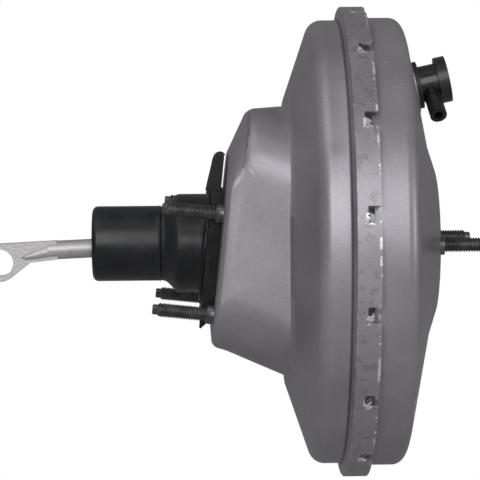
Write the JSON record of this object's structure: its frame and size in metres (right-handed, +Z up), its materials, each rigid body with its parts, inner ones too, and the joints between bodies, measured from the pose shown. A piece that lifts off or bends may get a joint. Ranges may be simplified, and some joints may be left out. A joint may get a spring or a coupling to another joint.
{
  "type": "vacuum brake booster",
  "caption": "Vacuum brake booster: crimped steel shells, boss tilted to the bulkhead, threaded studs at both ends, rubber boot, pedal rod with a pin eye, and a check valve with a hose nipple.",
  "frame": {"origin": "centre of the flat that the master cylinder bolts to, on the booster's axis", "axes": "+X forward along the booster's axis, to the master cylinder; +Z up; -Y the side of the hose nipple, which the picture shows"},
  "size_m": [0.2822, 0.265, 0.265],
  "materials": {
    "shell_steel": "satin",
    "inner_steel": "satin",
    "stud_steel": "satin",
    "black_sheet": "semi-gloss",
    "boot_rubber": "satin",
    "seal_rubber": "matt",
    "hub_plastic": "matt",
    "plunger_alloy": "machined",
    "spring_steel": "drawn",
    "filter_felt": "felted",
    "filter_foam": "open foam",
    "rod_forging": "forged",
    "valve_plastic": "satin"
  },
  "bodies": {
    "housing": {"rear_shell": "shell_steel", "front_shell": "shell_steel", "rear_stiffener": "inner_steel", "front_stiffener": "inner_steel", "master_cylinder_studs": "stud_steel", "mounting_studs": "stud_steel", "boot_bracket": "black_sheet", "dust_boot": "boot_rubber", "neck_bearing": "hub_plastic", "neck_seal": "seal_rubber", "seal_ring": "inner_steel", "front_seal": "seal_rubber", "front_seal_washer": "inner_steel", "diaphragm": "seal_rubber", "return_spring": "spring_steel", "valve_grommet": "seal_rubber", "check_valve_body": "valve_plastic", "check_valve_cap": "valve_plastic", "check_spring": "spring_steel"},
    "power_piston": {"valve_hub": "hub_plastic", "plunger_key": "hub_plastic", "diaphragm_plate": "inner_steel", "reaction_disc": "seal_rubber", "output_rod": "inner_steel", "rod_retainer": "inner_steel", "poppet_valve": "seal_rubber", "poppet_retainer": "inner_steel", "poppet_spring": "spring_steel", "pedal_rod_spring": "spring_steel", "felt_filter": "filter_felt", "foam_filter": "filter_foam"},
    "air_valve": {"air_valve_plunger": "plunger_alloy"},
    "input_rod": {"pedal_rod": "rod_forging", "rod_spring_cup": "inner_steel"},
    "valve_disc": {"check_disc": "seal_rubber"}
  },
  "joints": [
    {"name": "piston_slide", "type": "slide", "parent": "housing", "child": "power_piston", "axis": [1, 0, 0], "range_m": [0, 0.03], "stiffness_N_per_m": 3000, "springref_m": -0.03, "deforming": ["return_spring", "diaphragm", "dust_boot"]},
    {"name": "air_valve_slide", "type": "slide", "parent": "power_piston", "child": "air_valve", "axis": [1, 0, 0], "range_m": [0, 0.0015], "stiffness_N_per_m": 2000, "springref_m": -0.005, "deforming": ["pedal_rod_spring", "dust_boot"]},
    {"name": "pedal_rod_hinge", "type": "hinge", "parent": "air_valve", "child": "input_rod", "pos_m": [-0.135, 0, 0], "axis": [0, 1, 0], "range_deg": [0, 4.8], "deforming": ["pedal_rod_spring", "dust_boot"]},
    {"name": "check_disc_slide", "type": "slide", "parent": "housing", "child": "valve_disc", "axis": [0.9773, -0.0288, 0.2101], "range_m": [0, 0.0015], "stiffness_N_per_m": 60, "springref_m": -0.003, "deforming": ["check_spring"]}
  ]
}
